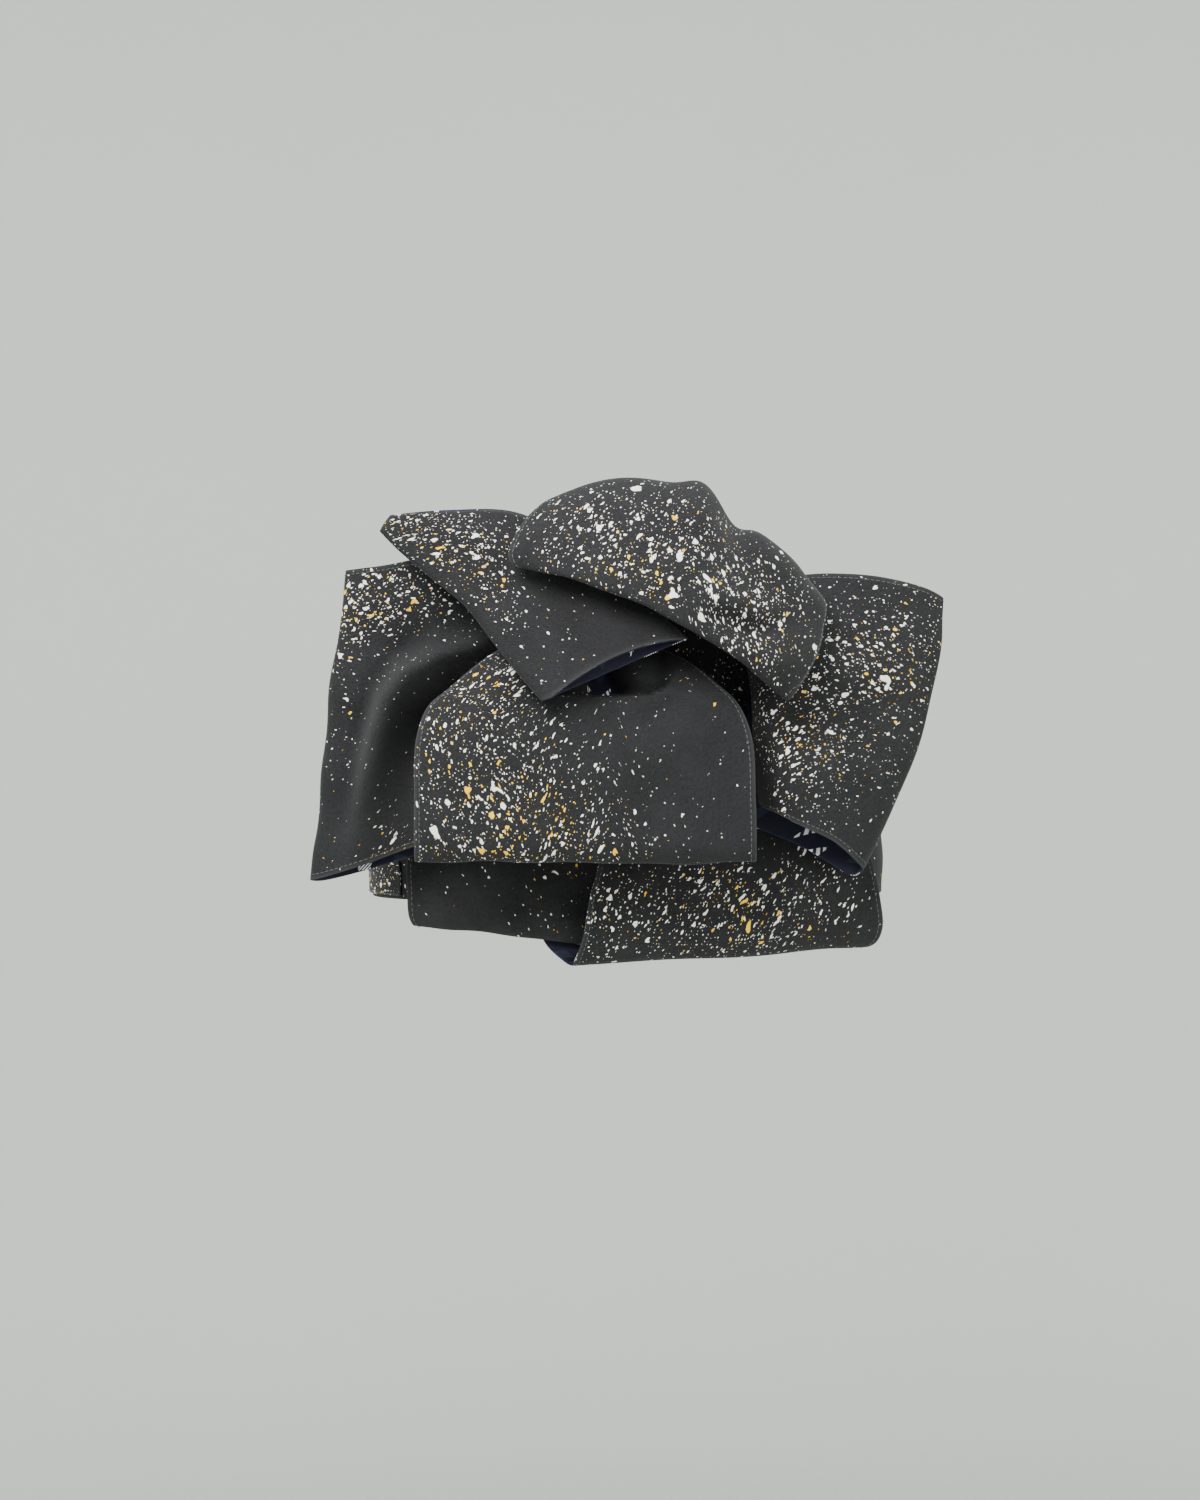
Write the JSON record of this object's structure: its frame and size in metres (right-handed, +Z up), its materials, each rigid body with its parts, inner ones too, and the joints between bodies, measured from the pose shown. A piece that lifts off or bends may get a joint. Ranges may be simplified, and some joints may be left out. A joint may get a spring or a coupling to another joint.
{
  "type": "tied half-width obi sash",
  "caption": "Wide lined cotton sash wound round a waist and tied at the back in a loose bow with looped ends, open inside where the wearer stands.",
  "frame": {"origin": "centre of the waist ring, at the middle of the band's height, where the wearer's waist holds it", "axes": "+Z up along the wearer's body, +Y the way the wearer faces, so the bow stands out towards -Y, +X to the right as seen from behind"},
  "size_m": [0.3547, 0.2903, 0.2674],
  "materials": {
    "face_cloth": "matte charcoal twill cotton, hand spattered with white and yellow drops",
    "lining_cloth": "plain-weave navy cotton, printed with small white hatched squares"
  },
  "bodies": {
    "root": {"waist_wrap_under": "face_cloth", "waist_wrap_over": "face_cloth", "tail_left": "face_cloth", "tail_right": "face_cloth", "wing_left": "face_cloth", "wing_right": "face_cloth", "knot_core": "face_cloth", "drum_flap": "face_cloth", "hand_end": "face_cloth", "knot_cover": "face_cloth", "waist_wrap_lining": "lining_cloth", "tail_right_lining": "lining_cloth", "wing_left_lining": "lining_cloth", "wing_right_lining": "lining_cloth", "hand_end_lining": "lining_cloth"}
  },
  "joints": []
}
